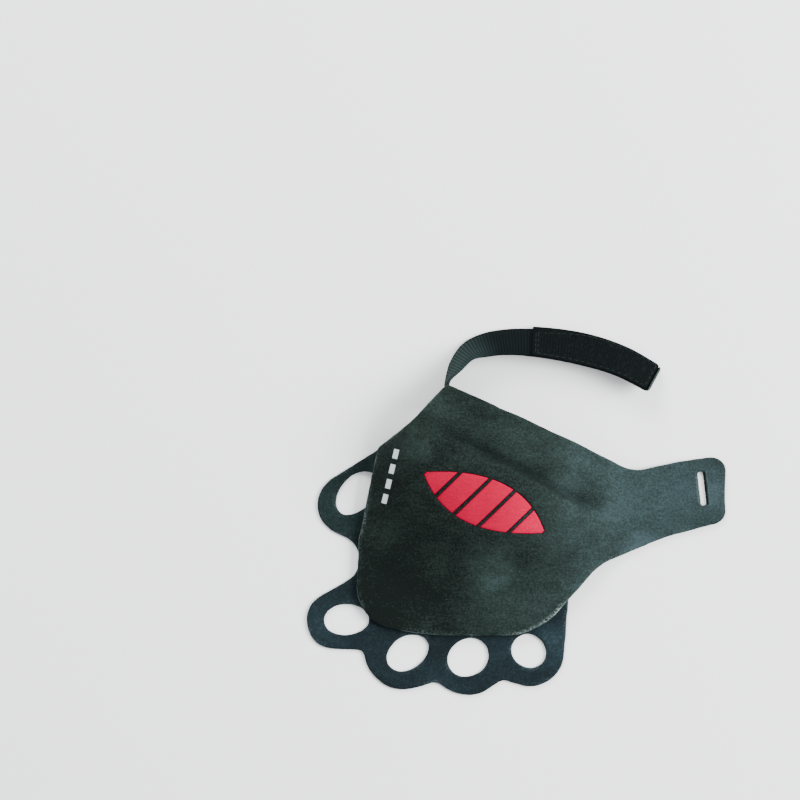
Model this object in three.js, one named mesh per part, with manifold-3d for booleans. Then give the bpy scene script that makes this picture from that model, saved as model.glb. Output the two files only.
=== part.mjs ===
// A crack climbing glove, laid open on a table with its back panel up.
// A die-cut loop layer of thin suede carries four finger holes and a thumb hole. A thicker
// rubbered back panel lies on it and runs out into a slotted wrist tab. A coloured inlay shows
// through windows in the panel, and a webbing strap with a grip patch leaves the wrist corner.
// Drawing frame: X runs right along the table, Y towards the wrist edge, Z up, in millimetres.

import * as THREE from 'three';
import { mergeVertices } from 'three/addons/utils/BufferGeometryUtils.js';
import Module from 'manifold-3d';

const wasm = await Module();
wasm.setup();

// Driving sizes
const LOOP_LAYER_THICKNESS = 1.3;
const PANEL_THICKNESS = 1.9;
const INLAY_THICKNESS = 1.5;
const SEAT_GAP = 0.3;
const GRID_STEP = 5;
const ARC_SEGMENTS = 8;
const WELD_REACH = 1e-4;
const MERGE_REACH = 0.01;

const STRAP = { width: 14.5, thickness: 1.4, clearance: 0.2, rows: 44 };
const PATCH = { width: 15.4, thickness: 1.5, from: 0.494, to: 0.995, rows: 26 };
const SLOT = { x: 80.3, y: 9.2, length: 14.8, width: 2.4, tilt: -83.5 };

// The hand stands on the table as a low arch, highest behind the knuckles and at the wrist.
const CROWN_HEIGHT = 19;
const WRIST_CORNER = new THREE.Vector2(-27.6, 53.2);
const WRIST_EDGE_ANGLE = THREE.MathUtils.degToRad(-26.6);
const WRIST_FLANK = { x: -33.1, y: 48.6, across: -50.3, foot: -24, crest: 8 };
const THUMB_FLANK = { x: -62.4, y: 9.9, across: -13.7, foot: -8, crest: 21 };
const TAB_FALL = { crest: 26, foot: 108 };
const KNUCKLE_FALL = { crest: 30, foot: 88 };
const WRIST_DROOP = { depth: 0.06, reach: 16 };
const SEAT_STEP = { x: 28.2, y: 17.2, across: -5, foot: 6, crest: 20 };
const CREASE = { along: 19, depth: 1.8, reach: 4.5, from: 2, to: 84, fade: 14 };

// Outlines are a belt laid round discs, anticlockwise seen from above. A disc with side 1 is
// inside the belt and rounds a corner out. A disc with side -1 is outside and hollows it in.
const PANEL_DISCS = [
  { name: 'wrist corner', x: -28.9, y: 51.7, r: 2.1, side: 1 },
  { name: 'wrist flank', x: -60.2, y: 58.0, r: 24.9, side: -1 },
  { name: 'thumb shoulder', x: -56.0, y: 25.1, r: 3.2, side: 1 },
  { name: 'thumb side', x: -55.3, y: -14.0, r: 12.0, side: 1 },
  { name: 'index corner', x: -49.5, y: -32.7, r: 18.5, side: 1 },
  { name: 'knuckle edge', x: -32.3, y: 4.4, r: 58.1, side: 1 },
  { name: 'little corner', x: -4.4, y: -24.1, r: 29.8, side: 1 },
  { name: 'armpit', x: 54.4, y: -48.6, r: 30.3, side: -1 },
  { name: 'tab sweep', x: 105.7, y: -134.0, r: 129.0, side: -1 },
  { name: 'tab lower corner', x: 83.9, y: 0.4, r: 6.6, side: 1 },
  { name: 'tab upper corner', x: 84.5, y: 16.8, r: 5.9, side: 1 },
  { name: 'tab edge', x: 97.4, y: -136.9, r: 160.0, side: 1 },
  { name: 'tab neck', x: 52.9, y: 36.7, r: 19.1, side: -1 },
  { name: 'wrist edge', x: -41.4, y: -105.0, r: 150.0, side: 1 },
];

const LOOP_DISCS = [
  { name: 'wrist corner', x: -26.9, y: 49.5, r: 2.2, side: 1 },
  { name: 'wrist side', x: -47.9, y: 49.2, r: 13.8, side: -1 },
  { name: 'thumb loop', x: -71.4, y: 2.3, r: 13.4, side: 1 },
  { name: 'thumb valley', x: -77.7, y: -21.2, r: 10.7, side: -1 },
  { name: 'index loop', x: -77.8, y: -47.6, r: 11.9, side: 1 },
  { name: 'index notch', x: -67.2, y: -62.5, r: 2.3, side: -1 },
  { name: 'middle loop', x: -47.8, y: -59.9, r: 17.2, side: 1 },
  { name: 'middle notch', x: -34.8, y: -78.5, r: 4.5, side: -1 },
  { name: 'ring loop', x: -20.4, y: -62.7, r: 16.8, side: 1 },
  { name: 'ring notch', x: -4.4, y: -78.1, r: 4.8, side: -1 },
  { name: 'little loop', x: 6.8, y: -61.5, r: 14.3, side: 1 },
  { name: 'tab root', x: 18.4, y: 17.2, r: 8.8, side: 1 },
];

const FINGER_HOLES = [
  { name: 'thumb', x: -67.9, y: 7.3, long: 10.9, short: 7.0, tilt: 47 },
  { name: 'index', x: -72.5, y: -47.2, long: 9.6, short: 6.6, tilt: 3 },
  { name: 'middle', x: -46.2, y: -61.3, long: 9.8, short: 6.8, tilt: 33 },
  { name: 'ring', x: -20.2, y: -63.4, long: 9.1, short: 7.9, tilt: 34 },
  { name: 'little', x: 5.8, y: -60.5, long: 7.6, short: 7.0, tilt: -40 },
];

// The inlay is a slanting leaf cut into slices, with a bridge of panel left between them.
const LEAF = { x: -13.5, y: 3.5, length: 56, height: 20, tilt: -26.6, shear: 0.35 };
const LEAF_SLICES = 5;
const LEAF_BRIDGE = 2.0;
const LEAF_POINT = 1.2;
const LEAF_CLEARANCE = 0.3;

// The strap stands on its edge where it is sewn up under the wrist corner, and leans over from
// there. lean is the tilt of its width from the table, and lift is what its lower edge clears
// the table by.
const STRAP_STATIONS = [
  { name: 'sewn end', x: -31.2, y: 45.2, lean: 80, lift: 2.0 },
  { name: 'seam', x: -29.8, y: 50.4, lean: 84, lift: 0.7 },
  { name: 'corner', x: -29.0, y: 55.3, lean: 85, lift: 0 },
  { name: 'rise', x: -25.4, y: 61.8, lean: 67, lift: 0 },
  { name: 'turn', x: -20.1, y: 68.0, lean: 57, lift: 0 },
  { name: 'shoulder', x: -12.7, y: 70.8, lean: 46, lift: 0 },
  { name: 'crest', x: -3.6, y: 72.1, lean: 41, lift: 0 },
  { name: 'patch start', x: 7.3, y: 71.9, lean: 35, lift: 0 },
  { name: 'patch middle', x: 28.0, y: 68.9, lean: 26, lift: 0 },
  { name: 'patch fall', x: 45.0, y: 63.6, lean: 31, lift: 0 },
  { name: 'tip', x: 59.9, y: 55.6, lean: 37, lift: 0 },
];

const panelMaterial = new THREE.MeshStandardMaterial({ color: 0x262f2d, roughness: 0.85, metalness: 0 });
const loopMaterial = new THREE.MeshStandardMaterial({ color: 0x1d2730, roughness: 0.88, metalness: 0 });
const inlayMaterial = new THREE.MeshStandardMaterial({ color: 0xe02440, roughness: 0.75, metalness: 0 });
const webbingMaterial = new THREE.MeshStandardMaterial({ color: 0x1a2024, roughness: 0.7, metalness: 0 });
const gripMaterial = new THREE.MeshStandardMaterial({ color: 0x121719, roughness: 0.95, metalness: 0 });

const { degToRad, smoothstep } = THREE.MathUtils;

// Distance of a point from the line through (x, y) whose normal points along `across` degrees.
function distancePast(flank, x, y) {
  const angle = degToRad(flank.across);
  return (x - flank.x) * Math.cos(angle) + (y - flank.y) * Math.sin(angle);
}

// Hand coordinates: u runs along the wrist edge from its corner, v from there to the fingers.
function handCoordinates(x, y) {
  const place = new THREE.Vector2(x, y).sub(WRIST_CORNER);
  place.rotateAround(new THREE.Vector2(), -WRIST_EDGE_ANGLE);
  return { u: place.x, v: -place.y };
}

// Height of the loop layer's underside over the table.
function archHeight(x, y) {
  const { u, v } = handCoordinates(x, y);
  const wristSide = smoothstep(distancePast(WRIST_FLANK, x, y), WRIST_FLANK.foot, WRIST_FLANK.crest);
  const thumbSide = smoothstep(distancePast(THUMB_FLANK, x, y), THUMB_FLANK.foot, THUMB_FLANK.crest);
  const tabSide = 1 - smoothstep(u, TAB_FALL.crest, TAB_FALL.foot);
  const knuckleSide = 1 - smoothstep(v, KNUCKLE_FALL.crest, KNUCKLE_FALL.foot);
  const arch = CROWN_HEIGHT * wristSide * thumbSide * tabSide * knuckleSide;

  const droop = 1 - WRIST_DROOP.depth * (1 - smoothstep(v, 0, WRIST_DROOP.reach));
  const creaseSpan =
    smoothstep(u, CREASE.from - CREASE.fade, CREASE.from + CREASE.fade) *
    (1 - smoothstep(u, CREASE.to - CREASE.fade, CREASE.to + CREASE.fade));
  const crease = CREASE.depth * creaseSpan * Math.exp(-(((v - CREASE.along) / CREASE.reach) ** 2));
  return Math.max(arch * droop - crease * Math.min(1, arch / CREASE.depth), 0);
}

// How much a wall's height grows where the arch is steep, so that it keeps its thickness.
function slopeStretch(x, y) {
  const step = 0.5;
  const dx = (archHeight(x + step, y) - archHeight(x - step, y)) / (2 * step);
  const dy = (archHeight(x, y + step) - archHeight(x, y - step)) / (2 * step);
  return Math.hypot(1, dx, dy);
}

function toSolid(geometry) {
  const bare = geometry.index ? geometry.toNonIndexed() : geometry.clone();
  bare.deleteAttribute('normal');
  bare.deleteAttribute('uv');
  const merged = mergeVertices(bare, WELD_REACH);
  return new wasm.Manifold(
    new wasm.Mesh({
      numProp: 3,
      vertProperties: new Float32Array(merged.attributes.position.array),
      triVerts: new Uint32Array(merged.index.array),
    })
  );
}

// A cut can leave corners almost on each other: they are joined, and what that closes is dropped.
function toGeometry(solid) {
  const made = solid.getMesh();
  const cut = new THREE.BufferGeometry();
  cut.setAttribute('position', new THREE.BufferAttribute(new Float32Array(made.vertProperties), 3));
  cut.setIndex(new THREE.BufferAttribute(new Uint32Array(made.triVerts), 1));
  const geometry = mergeVertices(cut, MERGE_REACH);
  const corners = geometry.index.array;
  const open = [];
  for (let i = 0; i < corners.length; i += 3) {
    const [a, b, c] = corners.slice(i, i + 3);
    if (a !== b && b !== c && c !== a) open.push(a, b, c);
  }
  geometry.setIndex(open);
  geometry.computeVertexNormals();
  return geometry;
}

// The belt round the discs, as arcs joined by straight tangents.
function beltOutline(discs) {
  const leave = [];
  const arrive = [];
  discs.forEach((disc, i) => {
    const j = (i + 1) % discs.length;
    const next = discs[j];
    const span = Math.hypot(next.x - disc.x, next.y - disc.y);
    const lean = Math.asin((disc.side * disc.r - next.side * next.r) / span);
    const normal = Math.atan2(next.y - disc.y, next.x - disc.x) + lean - Math.PI / 2;
    leave[i] = disc.side > 0 ? normal : normal + Math.PI;
    arrive[j] = next.side > 0 ? normal : normal + Math.PI;
  });
  const shape = new THREE.Shape();
  discs.forEach((disc, i) => shape.absarc(disc.x, disc.y, disc.r, arrive[i], leave[i], disc.side < 0));
  return shape;
}

function ovalHole(hole) {
  return new THREE.Path().absellipse(
    hole.x, hole.y, hole.long, hole.short, 0, 2 * Math.PI, false, degToRad(hole.tilt)
  );
}

function slotHole(slot) {
  const reach = (slot.length - slot.width) / 2;
  const tilt = degToRad(slot.tilt);
  const ends = [1, -1].map((way) => ({
    x: slot.x + way * reach * Math.cos(tilt),
    y: slot.y + way * reach * Math.sin(tilt),
    r: slot.width / 2,
    side: 1,
  }));
  return beltOutline(ends);
}

// One slice of the leaf between two shares of its length, grown or shrunk by `grow`.
function leafSlice(index, grow) {
  const sliceLength = (LEAF.length - LEAF_BRIDGE * (LEAF_SLICES - 1)) / LEAF_SLICES;
  const middle = (index - (LEAF_SLICES - 1) / 2) * (sliceLength + LEAF_BRIDGE);
  const halfHeight = (x) => {
    const share = (2 * x) / LEAF.length;
    return LEAF_POINT / 2 + (LEAF.height / 2) * Math.max(1 - share * share, 0) + grow;
  };
  const steps = 4;
  const side = (way) =>
    Array.from({ length: steps + 1 }, (_, i) => {
      const x = middle - way * (1 - (2 * i) / steps) * (sliceLength / 2 + grow);
      return new THREE.Vector2(x, -way * halfHeight(x));
    });
  const corners = [...side(1), ...side(-1)];
  return corners.map((corner) => {
    corner.x += LEAF.shear * corner.y;
    corner.rotateAround(new THREE.Vector2(), degToRad(LEAF.tilt));
    return corner.add(new THREE.Vector2(LEAF.x, LEAF.y));
  });
}

// An upright prism through the whole height of the glove.
function prismOf(shape) {
  const geometry = new THREE.ExtrudeGeometry(shape, {
    depth: 2 * CROWN_HEIGHT,
    bevelEnabled: false,
    curveSegments: ARC_SEGMENTS,
  });
  geometry.translate(0, 0, -CROWN_HEIGHT / 2);
  return toSolid(geometry);
}

// A slab that follows the arch, with its underside `seat` above the loop layer's underside.
function archSlab(seat, thickness) {
  const reachX = 100;
  const reachY = 90;
  const columns = Math.round((2 * reachX) / GRID_STEP);
  const rows = Math.round((2 * reachY) / GRID_STEP);
  const positions = [];
  for (const depth of [0, thickness]) {
    for (let row = 0; row <= rows; row++) {
      for (let column = 0; column <= columns; column++) {
        const x = column * GRID_STEP - reachX;
        const y = row * GRID_STEP - reachY;
        positions.push(x, y, archHeight(x, y) + (seat(x, y) + depth) * slopeStretch(x, y));
      }
    }
  }
  const layer = (rows + 1) * (columns + 1);
  const at = (row, column, top) => row * (columns + 1) + column + (top ? layer : 0);
  const faces = [];
  const quad = (a, b, c, d) => faces.push(a, b, c, a, c, d);
  for (let row = 0; row < rows; row++) {
    for (let column = 0; column < columns; column++) {
      const nearEnd = [row, column + 1];
      const farStart = [row + 1, column];
      const farEnd = [row + 1, column + 1];
      quad(at(row, column, true), at(...nearEnd, true), at(...farEnd, true), at(...farStart, true));
      quad(at(row, column), at(...farStart), at(...farEnd), at(...nearEnd));
    }
  }
  for (let column = 0; column < columns; column++) {
    quad(at(0, column), at(0, column + 1), at(0, column + 1, true), at(0, column, true));
    quad(at(rows, column + 1), at(rows, column), at(rows, column, true), at(rows, column + 1, true));
  }
  for (let row = 0; row < rows; row++) {
    quad(at(row + 1, 0), at(row, 0), at(row, 0, true), at(row + 1, 0, true));
    quad(at(row, columns), at(row + 1, columns), at(row + 1, columns, true), at(row, columns, true));
  }
  const geometry = new THREE.BufferGeometry();
  geometry.setAttribute('position', new THREE.Float32BufferAttribute(positions, 3));
  geometry.setIndex(faces);
  return toSolid(geometry);
}

// A flat band that follows the strap's route between two shares of its length.
function bandGeometry({ width, thickness, from, to, rows, offset }) {
  const places = STRAP_STATIONS.map(({ x, y, lean, lift }) => {
    const tilt = degToRad(lean);
    const halfHeight = (STRAP.width * Math.sin(tilt) + STRAP.thickness * Math.cos(tilt)) / 2;
    const z = STRAP.clearance + lift + halfHeight;
    return new THREE.Vector3(x, y, z);
  });
  const route = new THREE.CatmullRomCurve3(places, false, 'centripetal');
  const leans = new THREE.SplineCurve(STRAP_STATIONS.map((s, i) => new THREE.Vector2(i, s.lean)));
  const positions = [];
  for (let row = 0; row <= rows; row++) {
    const share = route.getUtoTmapping(from + ((to - from) * row) / rows);
    const centre = route.getPoint(share);
    const along = route.getTangent(share);
    const tilt = degToRad(leans.getPoint(share).y);
    const right = new THREE.Vector3(along.y, -along.x, 0).normalize();
    const face = new THREE.Vector3(0, 0, Math.cos(tilt)).addScaledVector(right, -Math.sin(tilt));
    face.addScaledVector(along, -face.dot(along)).normalize();
    const across = new THREE.Vector3().crossVectors(face, along);
    for (const [side, level] of [[-1, -1], [1, -1], [1, 1], [-1, 1]]) {
      const corner = centre.clone();
      corner.addScaledVector(across, (side * width) / 2);
      corner.addScaledVector(face, offset + (level * thickness) / 2);
      positions.push(...corner);
    }
  }
  const faces = [];
  for (let row = 0; row < rows; row++) {
    for (let side = 0; side < 4; side++) {
      const a = row * 4 + side;
      const b = row * 4 + ((side + 1) % 4);
      faces.push(a, b, b + 4, a, b + 4, a + 4);
    }
  }
  const last = rows * 4;
  faces.push(0, 2, 1, 0, 3, 2, last, last + 1, last + 2, last, last + 2, last + 3);
  const geometry = new THREE.BufferGeometry();
  geometry.setAttribute('position', new THREE.Float32BufferAttribute(positions, 3));
  geometry.setIndex(faces);
  geometry.computeVertexNormals();
  return geometry;
}

function piece(name, geometry, material) {
  const mesh = new THREE.Mesh(geometry, material);
  mesh.name = name;
  return mesh;
}

function loopLayer() {
  const outline = beltOutline(LOOP_DISCS);
  outline.holes.push(...FINGER_HOLES.map(ovalHole));
  const solid = archSlab(() => 0, LOOP_LAYER_THICKNESS).intersect(prismOf(outline));
  return piece('loop_layer', toGeometry(solid), loopMaterial);
}

// Past the end of the loop layer the panel sinks by its thickness, down to the table.
function seatLevel(x, y) {
  const past = smoothstep(distancePast(SEAT_STEP, x, y), SEAT_STEP.foot, SEAT_STEP.crest);
  return (LOOP_LAYER_THICKNESS + SEAT_GAP) * (1 - past);
}

function backPanel() {
  const outline = beltOutline(PANEL_DISCS);
  outline.holes.push(slotHole(SLOT));
  for (let slice = 0; slice < LEAF_SLICES; slice++) {
    outline.holes.push(new THREE.Path(leafSlice(slice, LEAF_CLEARANCE)));
  }
  const solid = archSlab(seatLevel, PANEL_THICKNESS).intersect(prismOf(outline));
  return piece('back_panel', toGeometry(solid), panelMaterial);
}

function inlayPieces() {
  const slab = archSlab(seatLevel, INLAY_THICKNESS);
  return Array.from({ length: LEAF_SLICES }, (_, slice) => {
    const solid = slab.intersect(prismOf(new THREE.Shape(leafSlice(slice, 0))));
    return piece(`inlay_${slice + 1}`, toGeometry(solid), inlayMaterial);
  });
}

function wristStrap() {
  const strap = bandGeometry({ ...STRAP, from: 0, to: 1, offset: 0 });
  return piece('wrist_strap', strap, webbingMaterial);
}

function gripPatch() {
  const offset = (STRAP.thickness + PATCH.thickness) / 2 + SEAT_GAP;
  return piece('grip_patch', bandGeometry({ ...PATCH, offset }), gripMaterial);
}

const glove = new THREE.Group();
glove.add(loopLayer(), backPanel(), ...inlayPieces(), wristStrap(), gripPatch());

// The origin is on the table under the middle of the glove's footprint.
const footprint = new THREE.Box3().setFromObject(glove);
const centre = footprint.getCenter(new THREE.Vector3());
glove.position.set(-centre.x, -centre.y, -footprint.min.z);

export default glove;
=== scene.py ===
"""A crack climbing glove, laid open on a pale table with its back panel up."""

import math

import bpy
import numpy as np
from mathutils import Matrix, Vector, kdtree, noise
from mathutils.geometry import delaunay_2d_cdt


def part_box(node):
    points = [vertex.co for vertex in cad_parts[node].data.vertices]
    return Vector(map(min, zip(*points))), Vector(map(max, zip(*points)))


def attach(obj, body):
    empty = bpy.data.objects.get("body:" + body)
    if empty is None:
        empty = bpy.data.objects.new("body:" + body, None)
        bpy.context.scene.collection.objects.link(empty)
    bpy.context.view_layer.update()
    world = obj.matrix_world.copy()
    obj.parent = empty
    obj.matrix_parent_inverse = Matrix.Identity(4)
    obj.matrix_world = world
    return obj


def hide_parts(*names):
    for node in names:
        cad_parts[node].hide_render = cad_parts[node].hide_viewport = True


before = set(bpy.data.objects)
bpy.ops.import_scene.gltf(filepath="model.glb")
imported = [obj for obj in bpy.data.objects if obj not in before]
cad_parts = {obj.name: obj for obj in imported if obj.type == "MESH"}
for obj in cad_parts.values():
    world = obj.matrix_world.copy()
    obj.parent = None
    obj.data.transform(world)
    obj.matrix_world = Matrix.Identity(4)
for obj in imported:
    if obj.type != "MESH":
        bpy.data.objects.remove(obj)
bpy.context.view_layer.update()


# Loop layer
# One die-cut piece of thin blue-black microfibre suede. Four finger loops and a thumb loop are
# cut through it, and it runs on under the back panel, which is glued to it. Sizes are in
# millimetres, in the drawing frame that the glove was cut in.

LOOP_THICKNESS = 1.3
LOOP_TONES = ((0.0034, 0.0070, 0.0082), (0.0088, 0.0175, 0.0200), (0.024, 0.040, 0.046))
LOOP_WORN = (0.052, 0.074, 0.082)


def table(keys, *rows):
    """One dict for each row, all under the same keys."""
    return [dict(zip(keys.split(), row)) for row in rows]


LOOP_SPOTS = table(
    "at reach lift name",
    ((19, -56), 18, 0.46, "little loop, rubbed"),
    ((-33, -60), 16, -0.10, "between middle and ring, dark"),
    ((-6, -60), 14, 0.14, "between ring and little"),
    ((-58, -63), 12, 0.12, "side of the middle loop"),
    ((-84, -50), 16, 0.30, "index loop, rubbed"),
    ((-32, -74), 22, 0.10, "tips of the middle loops"),
    ((-80, 0), 18, 0.20, "thumb loop, rubbed"),
)

# A belt laid round discs. Side 1 is inside the belt, side -1 is outside it and hollows it in.
LOOP_DISCS = table(
    "at r side name",
    ((-26.9, 49.5), 2.2, 1, "wrist corner"),
    ((-47.9, 49.2), 13.8, -1, "wrist side"),
    ((-71.4, 2.3), 13.4, 1, "thumb loop"),
    ((-77.7, -21.2), 10.7, -1, "thumb valley"),
    ((-77.8, -47.6), 11.9, 1, "index loop"),
    ((-67.2, -62.5), 2.3, -1, "index notch"),
    ((-47.8, -59.9), 17.2, 1, "middle loop"),
    ((-34.8, -78.5), 4.5, -1, "middle notch"),
    ((-20.4, -62.7), 16.8, 1, "ring loop"),
    ((-4.4, -78.1), 4.8, -1, "ring notch"),
    ((6.8, -61.5), 14.3, 1, "little loop"),
    ((18.4, 17.2), 8.8, 1, "tab root"),
)
FINGER_HOLES = table(
    "at half tilt name",
    ((-67.9, 7.3), (10.9, 7.0), 47, "thumb"),
    ((-72.5, -47.2), (9.6, 6.6), 3, "index"),
    ((-46.2, -61.3), (9.8, 6.8), 33, "middle"),
    ((-20.2, -63.4), (9.1, 7.9), 34, "ring"),
    ((5.8, -60.5), (7.6, 7.0), -40, "little"),
)

# The hand's low arch over the table
CROWN_HEIGHT = 19
WRIST_CORNER = (-27.6, 53.2)
WRIST_EDGE_ANGLE = math.radians(-26.6)
WRIST_FLANK = dict(at=(-33.1, 48.6), across=-50.3, foot=-24, crest=8)
THUMB_FLANK = dict(at=(-62.4, 9.9), across=-13.7, foot=-8, crest=21)
TAB_FALL = (26, 108)
KNUCKLE_FALL = (30, 88)
WRIST_DROOP = dict(depth=0.06, reach=16)
CREASE = dict(along=19, depth=1.8, reach=4.5, start=2, end=84, fade=14)
CREASE_WANDER = dict(depth=0.8, pitch=9)


def smooth(value, low, high):
    share = np.clip((value - low) / (high - low), 0, 1)
    return share * share * (3 - 2 * share)


def distance_past(line, x, y):
    """How far points lie past a line, in the direction `across` it."""
    angle = math.radians(line["across"])
    return (x - line["at"][0]) * math.cos(angle) + (y - line["at"][1]) * math.sin(angle)


def heading(angle):
    return np.array((math.cos(angle), math.sin(angle)))


def laid(shape, along, across):
    """Points given along and across a tilted shape, in the drawing frame."""
    tilt = math.radians(shape["tilt"])
    x = shape["at"][0] + along * math.cos(tilt) - across * math.sin(tilt)
    y = shape["at"][1] + along * math.sin(tilt) + across * math.cos(tilt)
    return np.stack((x, y), axis=1)


def hand_coordinates(x, y):
    """u runs along the wrist edge from its corner, and v from there to the fingers."""
    dx, dy = x - WRIST_CORNER[0], y - WRIST_CORNER[1]
    cos, sin = math.cos(WRIST_EDGE_ANGLE), math.sin(WRIST_EDGE_ANGLE)
    return dx * cos + dy * sin, dx * sin - dy * cos


def along_crease(crease, u):
    """1 along the crease and 0 past its ends."""
    fade = crease["fade"]
    begun = smooth(u, crease["start"] - fade, crease["start"] + fade)
    return begun * (1 - smooth(u, crease["end"] - fade, crease["end"] + fade))


def plain_arch(x, y):
    """Height of the loop layer's underside over the table."""
    u, v = hand_coordinates(x, y)
    arch = CROWN_HEIGHT * np.ones_like(x)
    for flank in (WRIST_FLANK, THUMB_FLANK):
        arch = arch * smooth(distance_past(flank, x, y), flank["foot"], flank["crest"])
    arch = arch * (1 - smooth(u, *TAB_FALL)) * (1 - smooth(v, *KNUCKLE_FALL))
    droop = 1 - WRIST_DROOP["depth"] * (1 - smooth(v, 0, WRIST_DROOP["reach"]))
    valley = np.exp(-(((v - CREASE["along"]) / CREASE["reach"]) ** 2))
    crease = CREASE["depth"] * along_crease(CREASE, u) * valley
    return np.maximum(arch * droop - crease * np.minimum(1, arch / CREASE["depth"]), 0)


# Soft unevenness that the worn layers have where the arch is clear of the table
RIPPLES = table("size depth seed", (26.0, 0.55, 3.0), (9.0, 0.16, 11.0))
RIPPLE_CLEAR = 3
SHARP_CREASE = dict(depth=0.8, reach=1.5, start=14, end=76, fade=12)
STRAP_SEAM = dict(at=(-30.0, 48.5), clear=6, reach=18)


def unevenness(waves, x, y):
    """Sum of soft noises at one point, each with its size and depth in millimetres."""
    spots = [Vector((x / wave["size"], y / wave["size"], wave["seed"])) for wave in waves]
    return sum(wave["depth"] * noise.noise(spot) for wave, spot in zip(waves, spots))


def arch_height(x, y):
    """The plain arch with the ripples and the crease's sharp bottom."""
    arch = plain_arch(x, y)
    u, v = hand_coordinates(x, y)
    wander = CREASE_WANDER["depth"] * np.sin(u / CREASE_WANDER["pitch"])
    bottom = np.exp(-(((v - CREASE["along"] - wander) / SHARP_CREASE["reach"]) ** 2))
    crease = SHARP_CREASE["depth"] * along_crease(SHARP_CREASE, u) * bottom
    ripple = np.array([unevenness(RIPPLES, a, b) for a, b in zip(x, y)])
    from_seam = np.hypot(x - STRAP_SEAM["at"][0], y - STRAP_SEAM["at"][1])
    ripple *= smooth(from_seam, STRAP_SEAM["clear"], STRAP_SEAM["reach"])
    return arch + np.minimum(1, arch / RIPPLE_CLEAR) * (ripple - crease)


def slope_stretch(x, y):
    """How much a wall's height grows where the arch is steep, so that it keeps its thickness."""
    step = 0.5
    dx = (plain_arch(x + step, y) - plain_arch(x - step, y)) / (2 * step)
    dy = (plain_arch(x, y + step) - plain_arch(x, y - step)) / (2 * step)
    return np.sqrt(1 + dx * dx + dy * dy)


# The cut edges are a little uneven: hand-guided cutting, then wear
WOBBLES = table("size depth seed", (11.0, 0.42, 21.0), (2.6, 0.12, 33.0))


def belt(discs, inset, spacing, uneven=1.0):
    """Points along the belt round the discs, moved `inset` to its inside."""
    leave, arrive, spans = [], [0] * len(discs), []
    for i, disc in enumerate(discs):
        j = (i + 1) % len(discs)
        after = discs[j]
        dx, dy = after["at"][0] - disc["at"][0], after["at"][1] - disc["at"][1]
        reach = disc["side"] * disc["r"] - after["side"] * after["r"]
        span = math.hypot(dx, dy)
        normal = math.atan2(dy, dx) + math.asin(reach / span) - math.pi / 2
        leave.append(normal if disc["side"] > 0 else normal + math.pi)
        arrive[j] = normal if after["side"] > 0 else normal + math.pi
        spans.append(math.sqrt(span * span - reach * reach))
    points = []
    for i, disc in enumerate(discs):
        turn = (leave[i] - arrive[i]) % (2 * math.pi)
        if disc["side"] < 0:
            turn -= 2 * math.pi
        steps = max(2, round(abs(turn) * disc["r"] / spacing))
        for angle in arrive[i] + turn * np.linspace(0, 1, steps + 1):
            out = heading(angle)
            points.append((np.array(disc["at"]) + disc["r"] * out, disc["side"] * out))
        j = (i + 1) % len(discs)
        after, out = discs[j], heading(arrive[j])
        end = np.array(after["at"]) + after["r"] * out
        steps = max(1, round(spans[i] / spacing))
        start = points[-1][0]
        points += [
            (start + (end - start) * k / steps, after["side"] * out) for k in range(1, steps)
        ]
    return np.array([at + out * (uneven * unevenness(WOBBLES, *at) - inset) for at, out in points])


def oval(hole, inset, spacing):
    """Points round an oval hole, moved `inset` into the material."""
    steps = round(2 * math.pi * sum(hole["half"]) / 2 / spacing)
    turn = np.linspace(0, 2 * math.pi, steps, endpoint=False)
    at = np.array(hole["at"])
    spots = [at + hole["half"][0] * heading(angle) for angle in turn]
    uneven = np.array([unevenness(WOBBLES, *spot) for spot in spots])
    along = (hole["half"][0] + inset + uneven) * np.cos(turn)
    across = (hole["half"][1] + inset + uneven) * np.sin(turn)
    return laid(hole, along, across)


def within(points, loop):
    """Which points lie inside a closed loop."""
    inside = np.zeros(len(points), bool)
    for (x1, y1), (x2, y2) in zip(loop, np.roll(loop, -1, axis=0)):
        if y1 == y2:
            continue
        crosses = (y1 > points[:, 1]) != (y2 > points[:, 1])
        inside ^= crosses & (points[:, 0] < x1 + (points[:, 1] - y1) / (y2 - y1) * (x2 - x1))
    return inside


# The drawing frame's origin in the row frame, from the loop layer's own edge
MM = 0.001
LOOP_LEFT = min(disc["at"][0] - disc["r"] for disc in LOOP_DISCS if disc["side"] > 0)
LOOP_FOOT = min(disc["at"][1] - disc["r"] for disc in LOOP_DISCS if disc["side"] > 0)
loop_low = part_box("loop_layer")[0]
ORIGIN = Vector((loop_low.x - LOOP_LEFT * MM, loop_low.y - LOOP_FOOT * MM, 0))

# Edges that turn by more than this are shaded sharp
SHARP_EDGE = math.radians(50)


def new_object(name, data):
    made = bpy.data.objects.new(name, data)
    bpy.context.scene.collection.objects.link(made)
    return made


def new_piece(name, points, faces, material, shades=()):
    """A mesh object from points in millimetres in the drawing frame, with its named shades."""
    mesh = bpy.data.meshes.new(name)
    mesh.from_pydata([Vector(p) * MM + ORIGIN for p in points], [], faces)
    for shade, values in dict(shades).items():
        layer = mesh.attributes.new(shade, "FLOAT", "POINT")
        layer.data.foreach_set("value", np.asarray(values, np.float32))
    mesh.validate()
    mesh.polygons.foreach_set("use_smooth", [True] * len(mesh.polygons))
    mesh.set_sharp_from_angle(angle=SHARP_EDGE)
    mesh.materials.append(material)
    return new_object(name, mesh)


def distance_to(loops, points):
    """Distance of each point from the nearest point of the loops."""
    rim = np.concatenate(loops)
    tree = kdtree.KDTree(len(rim))
    for i, p in enumerate(rim):
        tree.insert((*p, 0), i)
    tree.balance()
    return np.array([tree.find((*p, 0))[2] for p in points])


def on_layer(points, edges):
    """Which points lie inside the layer's outline and outside its holes."""
    keep = within(points, edges[0])
    for hole in edges[1:]:
        keep &= ~within(points, hole)
    return keep


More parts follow.
